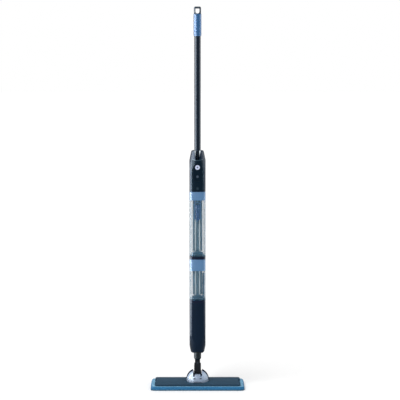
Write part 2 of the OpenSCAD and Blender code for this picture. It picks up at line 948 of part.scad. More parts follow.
module charge_socket() {
    back = body_d/2;
    color("#1a1a1a")
        translate([0, 0, socket_jack_z]) {
            difference() {
                union() {
                    bar_y(5, back - 11, back - 0.4);
                    bar_y(7, back - wall - 2.4, back - wall - 0.2);
                }
                bar_y(3, back - 9, back + 1);
            }
            bar_y(0.9, back - 9.5, back - 2);
        }
}

module base_ring() {
    floor_t = 3;
    color("#071b30")
        difference() {
            union() {
                translate([0, 0, base_z + part_line]) linear_extrude(base_ring_h - part_line) body_outline();
                translate([0, 0, base_z - 5]) linear_extrude(6) body_outline(wall + fit);
                for (x = [-hose_x, hose_x])
                    translate([x, hose_y, base_z - 6]) cylinder(r = hose_r + 1.2, h = 5);
            }
            // hollow underneath, leaving a boss round the spine tube
            difference() {
                translate([0, 0, base_z - 6])
                    linear_extrude(base_ring_h + 6 - floor_t) body_outline(2*wall + fit);
                translate([0, spine_y, base_z - 10]) cylinder(r = spine_r + 2.4, h = 30);
                for (x = [-hose_x, hose_x])
                    translate([x, hose_y, base_z - 6]) cylinder(r = hose_r + 1.2, h = 20);
            }
            translate([0, spine_y, spine_foot]) cylinder(r = spine_r + running, h = 20);
            for (x = [-hose_x, hose_x])
                translate([x, hose_y, base_z - 7]) cylinder(r = hose_bore, h = 11);
            // shallow seats of the two tank couplings
            for (x = [-coupling_x, coupling_x])
                translate([x, front_lobe_y, dirty_z - 1.2]) cylinder(r = stub_r + 0.5, h = 2);
        }
}

module spine_tube() {
    color("#c3ccd2")
        translate([0, spine_y, 0]) tube(spine_r, spine_r - spine_wall, spine_foot + 0.1, spine_top);
}

module middle_ring() {
    lip = 0.9;
    low = mid_z;
    color("#06141f")
        difference() {
            union() {
                translate([0, 0, low]) linear_extrude(mid_ring_h) body_outline(lip);
                translate([0, 0, low + lip]) linear_extrude(mid_ring_h - 2*lip) body_outline();
            }
            translate([0, spine_y, low - 1]) cylinder(r = spine_r + running, h = mid_ring_h + 2);
            for (x = [-coupling_x, coupling_x])
                translate([x, front_lobe_y, low + mid_ring_h - 1.2]) cylinder(r = stub_r + 0.5, h = 2);
        }
}

// ---------- control housing ----------

// Opening in the front through which the pole shows.
module pole_notch() {
    mouth = pole_r + 0.6;
    rotate([90, 0, 0]) linear_extrude(body_d) {
        polygon([
            [-mouth, top_z + 1], [mouth, top_z + 1],
            [notch_foot_r, notch_low], [-notch_foot_r, notch_low]
        ]);
        translate([0, notch_low]) circle(notch_foot_r);
    }
}

// Panel seen from the front: straight sides and foot, hollowed top.
module panel_face(grow = 0) {
    sag = 5;
    half = panel_w/2;
    arc_r = (half*half + sag*sag)/(2*sag);
    difference() {
        translate([-half - grow, panel_z - grow]) square([panel_w + 2*grow, panel_h + 2*grow]);
        translate([0, panel_z + panel_h - sag + arc_r]) circle(arc_r - grow);
    }
}

// Curved plate of the panel, a little proud of the housing.
module panel_form() {
    intersection() {
        rotate([90, 0, 0]) linear_extrude(body_d) panel_face();
        difference() {
            upper_form(-panel_proud);
            upper_form(panel_t - panel_proud);
        }
    }
}

// Racetrack outline of the button recess.
module recess_face() {
    r = recess_w/2;
    up = recess_h/2 - recess_w/2;
    for (z = [-up, up])
        translate([0, panel_z + recess_z + z]) circle(r);
    translate([-r, panel_z + recess_z - up]) square([2*r, 2*up]);
}

module release_form(grow = 0, x0 = 0, x1 = 10) {
    translate([-x1, release_y, release_z]) rotate([90, 0, 90])
        linear_extrude(x1 - x0) rounded(release_d + 2*grow, release_h + 2*grow, 3 + grow);
}

module upper_case() {
    difference() {
        union() {
            difference() {
                upper_form();
                upper_form(wall);
            }
            // floor, closed against the clean tank
            translate([0, 0, upper_z]) linear_extrude(wall) body_outline(wall/2);
            bosses(upper_screw_z);
        }
        translate([0, spine_y, upper_z - 1]) cylinder(r = spine_r + fit, h = wall + 2);
        translate([0, 0, top_z - top_len]) cylinder(r = pole_r + fit, h = top_len + 1);
        screw_cuts(upper_screw_z);
    }
}

module upper_front() {
    color("#0f2433")
        difference() {
            intersection() {
                upper_case();
                front_half(upper_z - 1, upper_h + 2);
            }
            pole_notch();
            translate([0, board_y, 0]) rotate([90, 0, 0]) linear_extrude(body_d) panel_face(fit);
            // the side button's window
            release_form(fit, body_w/2 - wall - 1, body_w/2 + 2);
        }
}

module upper_rear() {
    color("#0f2433")
        intersection() {
            upper_case();
            rear_half(upper_z - 1, upper_h + 2);
        }
}

module upper_screws() screws(upper_screw_z);

module control_panel() {
    recess_floor = -body_d/2 + 1.2;
    color("#0a1a26")
        difference() {
            panel_form();
            rotate([90, 0, 0]) translate([0, 0, -recess_floor]) linear_extrude(body_d) recess_face();
            translate([0, 0, power_z]) bar_y(power_d/2 + fit, -body_d, 0);
            translate([0, 0, mode_z]) bar_y(mode_d/2 + fit, -body_d, 0);
            translate([0, 0, lens_z]) bar_y(lens_r + fit, -body_d, 0);
        }
}

// Push button: cap, flange behind the panel and a stem over its switch.
module button(r, z, face_y) {
    translate([0, 0, z]) {
        bar_y(r, face_y, panel_back + 1);
        bar_y(r + 1.3, panel_back + 0.7, panel_back + 1.9);
        bar_y(2.4, panel_back + 1, switch_tip - button_travel - 0.2);
    }
}

module power_button() {
    face = -body_d/2 + 0.2;
    color("#cdd6ee")
        difference() {
            button(power_d/2, power_z, face);
            translate([0, 0, power_z]) bar_y(inlay_r + running, face - 1, face + 1.2);
        }
}

module power_inlay() {
    face = -body_d/2 + 0.2;
    color("#4a5468")
        translate([0, 0, power_z]) bar_y(inlay_r, face + 0.25, face + 1.15);
}

module mode_button() {
    color("#59687a")
        button(mode_d/2, mode_z, -body_d/2 + 0.7);
}

module switch_board() {
    low = panel_z + 24;
    color("#1f6b46")
        translate([-12, board_y, low]) cube([24, 1.6, 66]);
    color("#333333")
        for (z = [power_z, mode_z]) {
            translate([-3, board_y - 3.5, z - 3]) cube([6, 3.6, 6]);
            translate([0, 0, z]) bar_y(1.7, switch_tip, board_y - 3);
        }
}

module status_lens() {
    color("#7f93a3")
        translate([0, 0, lens_z]) bar_y(lens_r, -body_d/2, panel_back);
}

module tank_release() {
    skin = body_w/2;
    scoop_r = 26;
    color("#24384a")
        difference() {
            union() {
                release_form(0, skin - wall - 1.5, skin - 0.2);
                release_form(1.4, skin - wall - 1.9, skin - wall - 0.3);
            }
            // thumb scoop, deepest near the foot
            translate([-skin - scoop_r + 1.6, release_y, release_z - 4])
                rotate([90, 0, 0]) cylinder(r = scoop_r, h = 2*release_d, center = true);
        }
}

module pole_socket() {
    w = 2*(screw_x - boss_r - 0.8);
    front = board_y + 1.8;
    back = body_d/2 - wall - 0.3;
    low = upper_z + wall + 0.2;
    color("#2f3a42")
        difference() {
            intersection() {
                translate([0, (front + back)/2, low])
                    linear_extrude(notch_low - notch_foot_r - 2 - low) rounded(w, back - front, 4);
                upper_form(wall + 0.3);
            }
            translate([0, 0, pole_foot]) cylinder(r = pole_r + running, h = upper_h);
            translate([0, spine_y, upper_z - 1])
                cylinder(r = spine_r + running, h = spine_top - upper_z + 1.2);
        }
}

// ---------- pole ----------

module pole() {
    color("#101c33")
        tube(pole_r, pole_r - pole_wall, pole_foot + 0.2, loop_z - 1);
}

module grip() {
    r = grip_d/2;
    bore = pole_r + running;
    lip = 0.8;
    color("#2f6ea6")
        rotate_extrude()
            polygon([
                [bore, grip_z], [r - 1.6, grip_z], [r - lip, grip_z + 1], [r, grip_z + 5],
                [r, grip_z + 14], [r - 0.5, grip_z + 14.6], [r - 0.5, grip_z + 15.8], [r, grip_z + 16.4],
                [r, loop_z - 2], [r - lip, loop_z], [bore, loop_z]
            ]);
}

module hang_loop() {
    web = 4;
    side = loop_w/2;
    slot_r = slot_w/2;
    top = loop_z + loop_h;
    low = loop_z + web + slot_r - 3;
    color("#3a4a56")
        difference() {
            union() {
                intersection() {
                    translate([0, 0, loop_z + 0.1]) linear_extrude(loop_h - 0.1) rounded(loop_w, loop_d, 5);
                    rotate([90, 0, 0]) linear_extrude(loop_d + 2, center = true)
                        union() {
                            translate([-side, loop_z - 1]) square([loop_w, loop_h - 4]);
                            translate([-side + 5, loop_z]) square([loop_w - 10, loop_h]);
                            for (x = [-1, 1])
                                translate([x*(side - 5), top - 5]) circle(5);
                        }
                }
                translate([0, 0, loop_z - 24]) cylinder(r = pole_r - pole_wall - running, h = 26);
            }
            rotate([90, 0, 0]) linear_extrude(2*loop_d, center = true) {
                translate([0, low]) circle(slot_r);
                translate([-slot_r, low]) square([slot_w, top - 6 - 2 - low]);
                translate([-slot_r + 2, low]) square([slot_w - 4, top - 6 - low]);
                for (x = [-1, 1])
                    translate([x*(slot_r - 2), top - 8]) circle(2);
            }
        }
}

// ---------- tanks ----------

// C-shaped vessel between foot and the underside of its lid.
module vessel(foot, lid_z) {
    low = foot + slide_gap;
    difference() {
        union() {
            translate([0, 0, low]) linear_extrude(1.4) tank_outline(0.8);
            translate([0, 0, low + 1.2]) linear_extrude(lid_z - low - 1.2) tank_outline();
            translate([0, 0, lid_z - 1]) linear_extrude(rim_h + 1) tank_outline(rim_out);
        }
        translate([0, 0, low + tank_floor]) linear_extrude(lid_z + rim_h) tank_outline(tank_wall);
        translate([-coupling_x, front_lobe_y, low - 1]) cylinder(r = stub_r + fit, h = tank_floor + 2);
    }
}

// Lid band: a skirt over the vessel's rim under a closed top.
module lid(lid_z, top) {
    skirt = rim_out - 0.2;
    step = lid_z + rim_h + 0.7;
    difference() {
        translate([0, 0, lid_z + 0.3]) linear_extrude(top - lid_z - 0.3) tank_outline();
        translate([0, 0, lid_z - 1]) linear_extrude(step - lid_z + 1) tank_outline(skirt);
        translate([0, 0, step - 1]) linear_extrude(top - step - 2) tank_outline(tank_wall);
    }
}

module gasket(lid_z) {
    translate([0, 0, lid_z + rim_h + 0.05]) linear_extrude(0.6)
        difference() {
            tank_outline(rim_out);
            tank_outline(tank_wall);
        }
}

module clean_tank() {
    color("#a9cfe0", 0.45) vessel(clean_z, clean_lid_z);
}

module plug_place() {
    translate([0, front_lobe_y, 0]) children();
}

module clean_lid() {
    color("#5b8cc0", 0.9)
        difference() {
            lid(clean_lid_z, clean_top);
            plug_place() {
                translate([0, 0, clean_top - 1.7]) cylinder(r = 7.5 + fit, h = 3);
                translate([0, 0, clean_top - 6]) cylinder(r = 5.5 + fit, h = 8);
            }
        }
}

module clean_seal() {
    color("#e6edf1") gasket(clean_lid_z);
}

module fill_plug() {
    color("#27323a")
        plug_place() {
            translate([0, 0, clean_top - 1.6]) cylinder(r = 7.5, h = 1.5);
            translate([0, 0, clean_top - 6]) cylinder(r = 5.5, h = 5);
        }
}

// Arch with two legs that carries the filter cartridge under the lid.
module filter_frame() {
    depth = 7;
    leg_foot = filter_z - filter_len + 5;
    ring_z = filter_z - 15;
    color("#9cc3e0")
        plug_place() {
            difference() {
                rotate([90, 0, 0]) linear_extrude(depth, center = true)
                    difference() {
                        union() {
                            translate([0, arch_z]) circle(frame_half);
                            translate([-frame_half, leg_foot]) square([2*frame_half, arch_z - leg_foot]);
                            for (x = [-1, 1])
                                translate([x*(frame_half - 2) - 2, arch_z])
                                    square([4, clean_top - 3.2 - arch_z]);
                        }
                        translate([0, arch_z]) circle(filter_in);
                        translate([-filter_in, leg_foot - 1]) square([2*filter_in, arch_z - leg_foot + 1]);
                    }
                translate([0, 0, leg_foot - 1]) cylinder(r = filter_in, h = filter_len);
            }
            difference() {
                translate([0, 0, ring_z]) cylinder(r = filter_in + 1.3, h = 3);
                translate([0, 0, ring_z - 1]) cylinder(r = filter_in, h = 5);
            }
        }
}

// Finned cartridge with a smooth cap and a round foot.
module filter_cartridge() {
    foot = filter_z - filter_len;
    fins = 6;
    pitch = (filter_len - 18 - filter_r - 3)/fins;
    color("#5f6fb0")
        plug_place() {
            difference() {
                union() {
                    translate([0, 0, foot + filter_r]) cylinder(r = filter_r, h = filter_len - filter_r);
                    translate([0, 0, foot + filter_r]) sphere(filter_r);
                }
                for (i = [0:fins - 1])
                    translate([0, 0, foot + filter_r + 3 + i*pitch])
                        difference() {
                            cylinder(r = filter_r + 1, h = pitch/2);
                            translate([0, 0, -1]) cylinder(r = filter_r - 1.8, h = pitch);
                        }
            }
        }
}

// Low valve block on a tank's floor, with a stub through the floor.
module floor_block(foot) {
    low = foot + slide_gap + tank_floor;
    w = 2*riser_x - 2.5;
    d = 15;
    difference() {
        union() {
            translate([0, front_lobe_y, low + 0.1]) linear_extrude(8) rounded(w, d, 3.5);
            translate([0, front_lobe_y, low + 8]) linear_extrude(2.6) rounded(w - 3, d - 3, 3);
            translate([-coupling_x, front_lobe_y, foot + slide_gap + 0.4])
                cylinder(r = stub_r, h = tank_floor + 1);
        }
        translate([-coupling_x, front_lobe_y, foot - 1]) cylinder(r = 2, h = 30);
        for (i = [-1:3])
            translate([i*4 + 1, front_lobe_y - d, low + 3]) cube([1.6, d/2 + 3, 4]);
    }
}

module clean_outlet() {
    color("#3c6a8c") floor_block(clean_z);
}

module dirty_tank() {
    color("#a3c6d6", 0.45) vessel(dirty_z, dirty_lid_z);
}

module dirty_lid() {
    color("#5f86bd", 0.9) lid(dirty_lid_z, dirty_top);
}

module dirty_seal() {
    color("#e6edf1") gasket(dirty_lid_z);
}

module dirty_inlet() {
    low = dirty_z + slide_gap + tank_floor;
    color("#3c6a8c") {
        floor_block(dirty_z);
        // riser pipe beside the channel, joined to the block by a duct on the floor
        difference() {
            union() {
                translate([riser_x, spine_y, low + 0.1]) cylinder(r = 3.4, h = dirty_lid_z - low - 12);
                translate([riser_x - 2.4, front_lobe_y, low + 0.1]) cube([4.8, spine_y - front_lobe_y, 5]);
            }
            translate([riser_x, spine_y, low + 6]) cylinder(r = 2.2, h = dirty_h);
        }
    }
}

// ---------- drawn parts ----------

mop_pad();
hook_strips();
head_plate();
plate_cover();
wetting_bar();
cradle();
dome_shell();
cradle_screws();
pitch_pin();
pitch_bushes();
yoke();
roll_pin();
neck();
neck_hoses();
lower_front();
lower_rear();
lower_screws();
battery_cells();
battery_holder();
clean_pump();
dirty_pump();
pump_cap();
pump_rotor();
pump_bracket();
supply_hoses();
control_board();
charge_socket();
base_ring();
spine_tube();
middle_ring();
upper_front();
upper_rear();
upper_screws();
control_panel();
power_button();
power_inlay();
mode_button();
switch_board();
status_lens();
tank_release();
pole_socket();
pole();
grip();
hang_loop();
clean_tank();
clean_lid();
clean_seal();
fill_plug();
filter_frame();
filter_cartridge();
clean_outlet();
dirty_tank();
dirty_lid();
dirty_seal();
dirty_inlet();
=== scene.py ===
"""Looks of the flat mop: its finishes, the cloth pad and its trim, the lamps and the camera."""

import logging
import math
from dataclasses import dataclass
from enum import Enum
from typing import Any, Iterable, Optional, Sequence, Union

import bmesh
import bpy
from mathutils import Matrix, Vector, noise
from mathutils.bvhtree import BVHTree


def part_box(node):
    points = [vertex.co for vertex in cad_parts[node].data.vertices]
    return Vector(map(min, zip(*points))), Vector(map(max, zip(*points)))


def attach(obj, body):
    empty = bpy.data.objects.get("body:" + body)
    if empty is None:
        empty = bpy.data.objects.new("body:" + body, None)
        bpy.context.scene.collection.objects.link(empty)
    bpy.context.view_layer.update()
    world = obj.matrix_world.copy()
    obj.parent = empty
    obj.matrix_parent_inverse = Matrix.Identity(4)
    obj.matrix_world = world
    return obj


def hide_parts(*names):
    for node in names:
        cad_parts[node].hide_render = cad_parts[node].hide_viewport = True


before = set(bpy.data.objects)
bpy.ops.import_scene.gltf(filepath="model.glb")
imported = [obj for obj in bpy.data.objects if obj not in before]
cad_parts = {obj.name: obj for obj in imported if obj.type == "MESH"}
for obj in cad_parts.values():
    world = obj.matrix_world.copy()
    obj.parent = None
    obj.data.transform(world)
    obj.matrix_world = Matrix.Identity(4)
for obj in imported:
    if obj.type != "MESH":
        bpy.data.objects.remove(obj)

LOG = logging.getLogger("flat_mop")
MM = 0.001
Colour = tuple[float, float, float]
Place = tuple[float, float, float]
Key = Union[int, str]

# Sockets of a Mix node that is set to colours.
MIX_FACTOR, MIX_LOW, MIX_HIGH, MIX_RESULT = 0, 6, 7, 2
# Output of a Wave node that carries its value.
WAVE_VALUE = 1
# Octaves of a fine and of a broad pattern.
FINE, BROAD = 3.0, 2.0
# Rays by which a rounded edge is shaded.
EDGE_RAYS = 6
# Specular level of cloth.
CLOTH_SHINE = 0.05


# ---------- shader graph ----------


class Wire:
    """A value in a material; arithmetic on it adds Math nodes."""

    def __init__(self, graph: "Graph", socket: Optional[bpy.types.NodeSocket]) -> None:
        """Keeps the socket that carries the value; an output node has none."""
        self.graph = graph
        self.socket = socket

    def _join(self, operation: str, left: "Value", right: "Value") -> "Wire":
        """Adds one Math node.

        Args:
            operation: the Math node's operation.
            left: its first input.
            right: its second input.

        Returns:
            The node's result.
        """
        return self.graph.add("ShaderNodeMath", {"operation": operation}, {0: left, 1: right})

    def __add__(self, other: "Value") -> "Wire":
        """Sum."""
        return self._join("ADD", self, other)

    __radd__ = __add__

    def __sub__(self, other: "Value") -> "Wire":
        """Difference."""
        return self._join("SUBTRACT", self, other)

    def __rsub__(self, other: "Value") -> "Wire":
        """Difference from a number."""
        return self._join("SUBTRACT", other, self)

    def __mul__(self, other: "Value") -> "Wire":
        """Product."""
        return self._join("MULTIPLY", self, other)

    __rmul__ = __mul__


Value = Union[Wire, float]


class Graph:
    """The node tree of one material."""

    def __init__(self, name: str) -> None:
        """Starts an empty material.

        Args:
            name: the material's name.
        """
        self.material = bpy.data.materials.new(name)
        self.material.use_nodes = True
        self.tree = self.material.node_tree
        self.tree.nodes.clear()

    def add(
        self, kind: str, settings: Optional[dict[str, Any]] = None,
        inputs: Optional[dict[Key, Any]] = None, output: Key = 0,
    ) -> Wire:
        """Adds a node.

        Args:
            kind: the node's type.
            settings: its properties, which are set first.
            inputs: a number, colour or Wire for each socket.
            output: the socket to hand back.

        Returns:
            The chosen output.
        """
        made = self.tree.nodes.new(kind)
        for key, value in (settings or {}).items():
            setattr(made, key, value)
        for key, value in (inputs or {}).items():
            if isinstance(value, Wire):
                self.tree.links.new(value.socket, made.inputs[key])
            else:
                made.inputs[key].default_value = value
        return Wire(self, made.outputs[output] if made.outputs else None)

    def place(self, stretch: Place = (1.0, 1.0, 1.0)) -> Wire:
        """Object coordinates, stretched along each axis."""
        where = self.add("ShaderNodeTexCoord", output="Object")
        return self.add("ShaderNodeMapping", inputs={"Vector": where, "Scale": stretch})

    def speckle(self, size: float, where: Optional[Wire] = None, detail: float = BROAD) -> Wire:
        """Noise between 0 and 1.

        Args:
            size: size of its features in metres.
            where: the coordinates, or None for plain Object coordinates.
            detail: octaves of the noise.

        Returns:
            The noise value.
        """
        inputs = {"Vector": where or self.place(), "Scale": 1.0 / size, "Detail": detail}
        return self.add("ShaderNodeTexNoise", inputs=inputs)

    def blend(self, low: Union[Colour, Wire], high: Colour, factor: Value) -> Wire:
        """Mixes two colours.

        Args:
            low: the colour where the factor is 0.
            high: the colour where it is 1.
            factor: the share of the second colour.

        Returns:
            The mixed colour.
        """
        start = low if isinstance(low, Wire) else (*low, 1.0)
        inputs = {MIX_FACTOR: factor, MIX_LOW: start, MIX_HIGH: (*high, 1.0)}
        return self.add("ShaderNodeMix", {"data_type": "RGBA"}, inputs, MIX_RESULT)

    def relief(self, height: Value, depth: float, soft: float = 0.0) -> Wire:
        """Normal of a bumpy surface.

        Args:
            height: the relief, between 0 and 1.
            depth: how deep that is, in metres.
            soft: radius by which sharp edges are rounded, in metres.

        Returns:
            The normal.
        """
        inputs: dict[Key, Any] = {"Height": height, "Distance": depth, "Strength": 1.0}
        if soft:
            inputs["Normal"] = self.add("ShaderNodeBevel", {"samples": EDGE_RAYS}, {"Radius": soft})
        return self.add("ShaderNodeBump", inputs=inputs)

    def close(self, inputs: dict[Key, Any]) -> bpy.types.Material:
        """Ends the material in a Principled shader.

        Args:
            inputs: a number, colour or Wire for each of the shader's sockets.

        Returns:
            The finished material.
        """
        shader = self.add("ShaderNodeBsdfPrincipled", inputs=inputs)
        self.add("ShaderNodeOutputMaterial", inputs={"Surface": shader})
        return self.material


class SkyGraph(Graph):
    """The node tree of the surroundings."""

    def __init__(self, name: str) -> None:
        """Starts an empty world and shows it.

        Args:
            name: the world's name.
        """
        world = bpy.data.worlds.new(name)
        bpy.context.scene.world = world
        world.use_nodes = True
        self.tree = world.node_tree
        self.tree.nodes.clear()


# ---------- finishes ----------


def toned(colour: Colour, tone: float) -> Colour:
    """A colour made darker or lighter, up to full white."""
    return tuple(min(1.0, tone * channel) for channel in colour)


class Gloss(Enum):
    """How a moulded surface was polished: its roughness and its grain's depth in metres."""

    HIGH = (0.30, 0.000001)
    SATIN = (0.36, 0.000002)
    MATTE = (0.52, 0.000008)


@dataclass(frozen=True)
class Moulded:
    """Injection-moulded plastic with a fine grain, faint flow marks and rounded edges."""

    name: str
    colour: Colour
    gloss: Gloss
    shine: float = 0.4
    edge: float = 0.0
    grain: float = 0.0009
    flow: float = 0.035
    flow_run: Place = (1.0, 1.0, 0.35)
    dark_tone: float = 0.86
    light_tone: float = 1.12
    colour_by_flow: float = 0.7
    colour_by_grain: float = 0.3
    least_rough: float = 0.82
    rough_by_flow: float = 0.3
    rough_by_grain: float = 0.04

    def make(self) -> bpy.types.Material:
        """Builds the material.

        Returns:
            A new material.
        """
        graph = Graph(self.name)
        rough, depth = self.gloss.value
        grain = graph.speckle(self.grain, detail=FINE)
        flow = graph.speckle(self.flow, graph.place(self.flow_run))
        mottle = flow * self.colour_by_flow + grain * self.colour_by_grain
        wear = rough * self.least_rough + flow * (self.rough_by_flow * rough)
        return graph.close({
            "Base Color": graph.blend(
                toned(self.colour, self.dark_tone), toned(self.colour, self.light_tone), mottle),
            "Roughness": wear + grain * self.rough_by_grain,
            "Specular IOR Level": self.shine,
            "Normal": graph.relief(grain, depth, self.edge),
        })


@dataclass(frozen=True)
class Clear:
    """Tinted clear plastic of the tanks, denser where it is seen at a slant."""

    name: str
    colour: Colour
    alpha: float
    rough: float = 0.32
    slant_alpha: float = 0.90
    falloff: float = 0.5
    haze: float = 0.02
    haze_run: Place = (1.0, 1.0, 0.4)
    light_tone: float = 1.15
    rough_by_haze: float = 0.05
    shine: float = 0.28
    depth: float = 0.00001

    def make(self) -> bpy.types.Material:
        """Builds the material.

        Returns:
            A new material.
        """
        graph = Graph(self.name)
        haze = graph.speckle(self.haze, graph.place(self.haze_run))
        slant = graph.add("ShaderNodeLayerWeight", inputs={"Blend": self.falloff}, output="Facing")
        return graph.close({
            "Base Color": graph.blend(self.colour, toned(self.colour, self.light_tone), haze),
            "Roughness": self.rough + haze * self.rough_by_haze,
            "Alpha": slant * slant * (self.slant_alpha - self.alpha) + self.alpha,
            "Specular IOR Level": self.shine,
            "Normal": graph.relief(haze, self.depth),
        })


@dataclass(frozen=True)
class Metal:
    """Bare or plated metal with fine lines along one axis."""

    name: str
    colour: Colour
    rough: float
    stretch: Place = (1.0, 1.0, 0.02)
    line: float = 0.0006
    dark_tone: float = 0.8
    least_rough: float = 0.8
    rough_by_line: float = 0.4
    depth: float = 0.00001
    edge: float = 0.0002

    def make(self) -> bpy.types.Material:
        """Builds the material.

        Returns:
            A new material.
        """
        graph = Graph(self.name)
        lines = graph.speckle(self.line, graph.place(self.stretch), FINE)
        return graph.close({
            "Base Color": graph.blend(toned(self.colour, self.dark_tone), self.colour, lines),
            "Metallic": 1.0,
            "Roughness": self.rough * self.least_rough + lines * (self.rough_by_line * self.rough),
            "Normal": graph.relief(lines, self.depth, self.edge),
        })


@dataclass(frozen=True)
class Pile:
    """Looped microfibre with tufts, a lighter nap and a little sheen; painted shade darkens the
    gaps between tufts and painted light brightens the pad's top.
    """

    name: str
    low: Colour
    high: Colour
    # The next colour is painted light on the pad's top; shoulder gives the heights over which it
    # fades in.
    top_light: Colour
    shoulder: tuple[float, float] = (0.0126, 0.0142)
    tuft: float = 0.0026
    smooth: float = 0.35
    fibre: float = 0.0007
    nap: float = 0.03
    shade_by_tuft: float = 0.75
    shade_by_fibre: float = 0.35
    shade_by_nap: float = 0.3
    shade_drop: float = 0.2
    least_top_light: float = 0.35
    top_light_by_shade: float = 0.5
    depth: float = 0.0011
    relief_by_tuft: float = 0.8
    relief_by_fibre: float = 0.4
    least_rough: float = 0.85
    rough_by_fibre: float = 0.12
    sheen: float = 0.10
    sheen_rough: float = 0.5

    def make(self) -> bpy.types.Material:
        """Builds the material.

        Returns:
            A new material.
        """
        graph = Graph(self.name)
        tufts = graph.add("ShaderNodeTexVoronoi", {"feature": "SMOOTH_F1"}, {
            "Vector": graph.place(), "Scale": 1.0 / self.tuft, "Smoothness": self.smooth})
        fibre = graph.speckle(self.fibre, detail=FINE)
        nap = graph.speckle(self.nap, detail=FINE)
        # Tuft crowns are painted lighter than the gaps between them: painted shade in the gaps,
        # mixed with random fibre tone.
        crown = 1.0 - tufts
        tuft_shade_and_fibre = crown * self.shade_by_tuft + fibre * self.shade_by_fibre
        shade = tuft_shade_and_fibre + nap * self.shade_by_nap - self.shade_drop
        # The pad is painted lighter from its shoulder up to its top: painted light where the lamps
        # fall on the top.
        height = graph.add("ShaderNodeSeparateXYZ", inputs={"Vector": graph.place()}, output="Z")
        lit_top_mask = graph.add("ShaderNodeMapRange", {"interpolation_type": "SMOOTHSTEP"}, {
            "Value": height, "From Min": self.shoulder[0], "From Max": self.shoulder[1]})
        pile = graph.blend(self.low, self.high, shade)
        light = lit_top_mask * (shade * self.top_light_by_shade + self.least_top_light)
        bumps = crown * self.relief_by_tuft + fibre * self.relief_by_fibre
        return graph.close({
            "Base Color": graph.blend(pile, self.top_light, light),
            "Roughness": self.least_rough + fibre * self.rough_by_fibre,
            "Sheen Weight": self.sheen,
            "Sheen Roughness": self.sheen_rough,
            "Specular IOR Level": CLOTH_SHINE,
            "Normal": graph.relief(bumps, self.depth),
        })


@dataclass(frozen=True)
class Woven:
    """Woven tape, rib by rib."""

    name: str
    low: Colour
    high: Colour
    rib: float = 0.0012
    ribs_in_scale: float = 0.16
    waver: float = 0.6
    wave_octaves: float = 1.0
    fibre: float = 0.0006
    by_rib: float = 0.7
    by_fibre: float = 0.3
    depth: float = 0.0003
    least_rough: float = 0.8
    rough_by_fibre: float = 0.15
    sheen: float = 0.05

    def make(self) -> bpy.types.Material:
        """Builds the material.

        Returns:
            A new material.
        """
        graph = Graph(self.name)
        settings = {"wave_type": "BANDS", "bands_direction": "DIAGONAL"}
        ribs = graph.add("ShaderNodeTexWave", settings, {
            "Vector": graph.place(), "Scale": self.ribs_in_scale / self.rib,
            "Distortion": self.waver, "Detail": self.wave_octaves}, WAVE_VALUE)
        fibre = graph.speckle(self.fibre)
        weave = ribs * self.by_rib + fibre * self.by_fibre
        return graph.close({
            "Base Color": graph.blend(self.low, self.high, weave),
            "Roughness": self.least_rough + fibre * self.rough_by_fibre,
            "Sheen Weight": self.sheen,
            "Specular IOR Level": CLOTH_SHINE,
            "Normal": graph.relief(weave, self.depth),
        })


Finish = Union[Moulded, Clear, Metal, Pile, Woven]

NAVY = Moulded("navy_gloss", (0.0004, 0.0085, 0.024), Gloss.HIGH, 0.08)
RING = Moulded("ring_gloss", (0.0004, 0.0050, 0.022), Gloss.HIGH, 0.10)
PANEL = Moulded("panel_gloss", (0.0006, 0.0085, 0.018), Gloss.HIGH, 0.05)
DARK = Moulded("dark_satin", (0.0020, 0.0085, 0.014), Gloss.SATIN, 0.16)
BLACK = Moulded("black_matte", (0.0020, 0.0035, 0.007), Gloss.MATTE, 0.10)
DOME = Moulded("dome_matte", (0.0040, 0.0110, 0.030), Gloss.MATTE, 0.0)
# Near-black colour at the bottoms of the cradle's slots: painted shade.
SLOT_SHADE = Moulded("slot_painted_shade", (0.0010, 0.0015, 0.004), Gloss.MATTE, 0.0)
# Pale colour of the V notch wedges: painted highlight on the notch's chamfers.
NOTCH_HIGHLIGHT = Moulded("notch_painted_highlight", (0.62, 0.70, 0.76), Gloss.SATIN, 0.2)
BEAD = Moulded("bead_teal", (0.030, 0.075, 0.100), Gloss.SATIN, 0.2)
# Near-white strips in the tanks: painted highlight on the channel wall.
RAIL_HIGHLIGHT = Moulded("rail_painted_highlight", (0.86, 1.0, 1.0), Gloss.SATIN, 0.03)
# Dark blue sleeves in the tanks: painted shade on the sides of the channel.
FLANK_SHADE = Moulded("flank_painted_shade", (0.050, 0.125, 0.185), Gloss.SATIN, 0.03)
SLATE = Moulded("slate_satin", (0.026, 0.058, 0.094), Gloss.MATTE, 0.01)
SILVER = Moulded("silver_satin", (0.25, 0.32, 0.43), Gloss.SATIN, 0.22, 0.0005)
GREY = Moulded("grey_matte", (0.07, 0.09, 0.11), Gloss.MATTE, 0.3)
PALE = Moulded("pale_matte", (0.72, 0.75, 0.78), Gloss.MATTE, 0.3)
GRIP = Moulded("grip_satin", (0.016, 0.090, 0.23), Gloss.SATIN, 0.22)
LOOP = Moulded("loop_matte", (0.020, 0.034, 0.050), Gloss.MATTE, 0.15)
LACQUER = Moulded("pole_lacquer", (0.0004, 0.0065, 0.016), Gloss.HIGH, 0.09)
BUTTON = Moulded("button_pale", (0.52, 0.58, 0.78), Gloss.SATIN, 0.3, 0.0003)
BUTTON_DARK = Moulded("button_grey", (0.035, 0.055, 0.085), Gloss.SATIN, 0.2, 0.0003)
LENS = Moulded("lens_frosted", (0.010, 0.026, 0.042), Gloss.SATIN, 0.1, 0.0002)
RUBBER = Moulded("seal_rubber", (0.62, 0.68, 0.72), Gloss.MATTE)
BOARD = Moulded("board_green", (0.010, 0.12, 0.055), Gloss.SATIN)
WRAP = Moulded("cell_wrap", (0.05, 0.28, 0.16), Gloss.HIGH)
FILTER_CASE = Moulded("filter_light", (0.12, 0.22, 0.42), Gloss.SATIN, 0.1)
FILTER_CORE = Moulded("filter_core", (0.050, 0.105, 0.300), Gloss.SATIN, 0.1)
